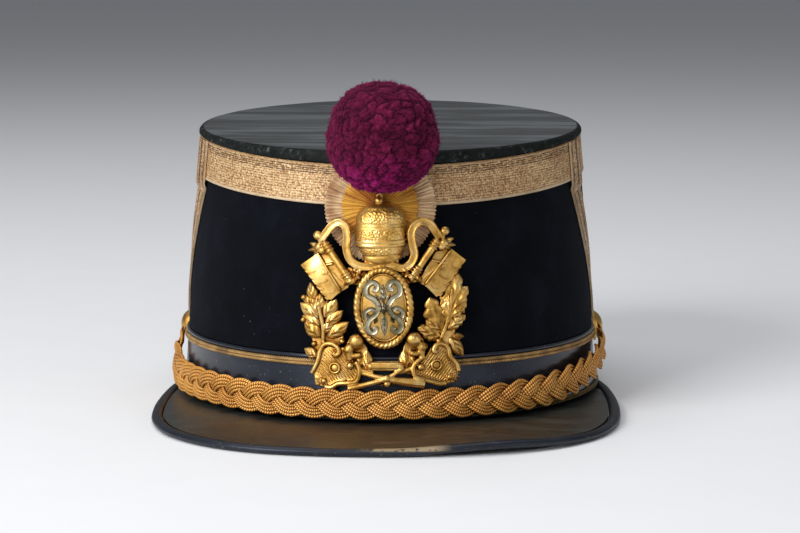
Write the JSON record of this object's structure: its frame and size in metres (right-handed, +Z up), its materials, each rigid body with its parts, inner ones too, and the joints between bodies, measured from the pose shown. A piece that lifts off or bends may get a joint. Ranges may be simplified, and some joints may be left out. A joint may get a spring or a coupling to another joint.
{
  "type": "parade kepi",
  "caption": "Black cloth parade kepi with a leather top, gold lace, a bound leather peak, plaited chin cord, pleated cockade, stamped gilt badge and woollen pompom.",
  "frame": {"origin": "middle of the underside of the whole hat's box, on the surface that the hat stands on", "axes": "+Z up, -Y towards the peak and the badge, +Y towards the back of the hat, +X towards the right as the front is looked at"},
  "size_m": [0.1788, 0.2484, 0.1286],
  "materials": {
    "cloth": "milled black wool cloth, matte",
    "top_leather": "polished black leather",
    "lace": "woven gilt metal-thread lace, aged",
    "band_leather": "patent leather, blue-black",
    "gold_cord": "gilt braid cord, tarnished",
    "peak_leather": "patent leather, worn and scratched",
    "binding_leather": "black leather binding, rubbed",
    "plait": "gimp cord of orange-gold metal thread",
    "gilt": "stamped gilt brass, tarnished in the hollows",
    "cockade_silk": "pleated ribbed silk",
    "tongue_wire": "dull black-lacquered steel",
    "wool": "cut wool pile"
  },
  "bodies": {
    "root": {"crown_body": "cloth", "crown_top": "top_leather", "lace_band": "lace", "side_lace_left": "lace", "side_lace_right": "lace", "leather_band": "band_leather", "upper_cord": "gold_cord", "base_cord": "gold_cord", "peak": "peak_leather", "peak_binding": "binding_leather", "chin_plait": "plait", "button_left": "gilt", "button_right": "gilt", "cockade": "cockade_silk", "pompom_tongue": "tongue_wire", "pompom": "wool", "badge": "gilt"}
  },
  "joints": []
}
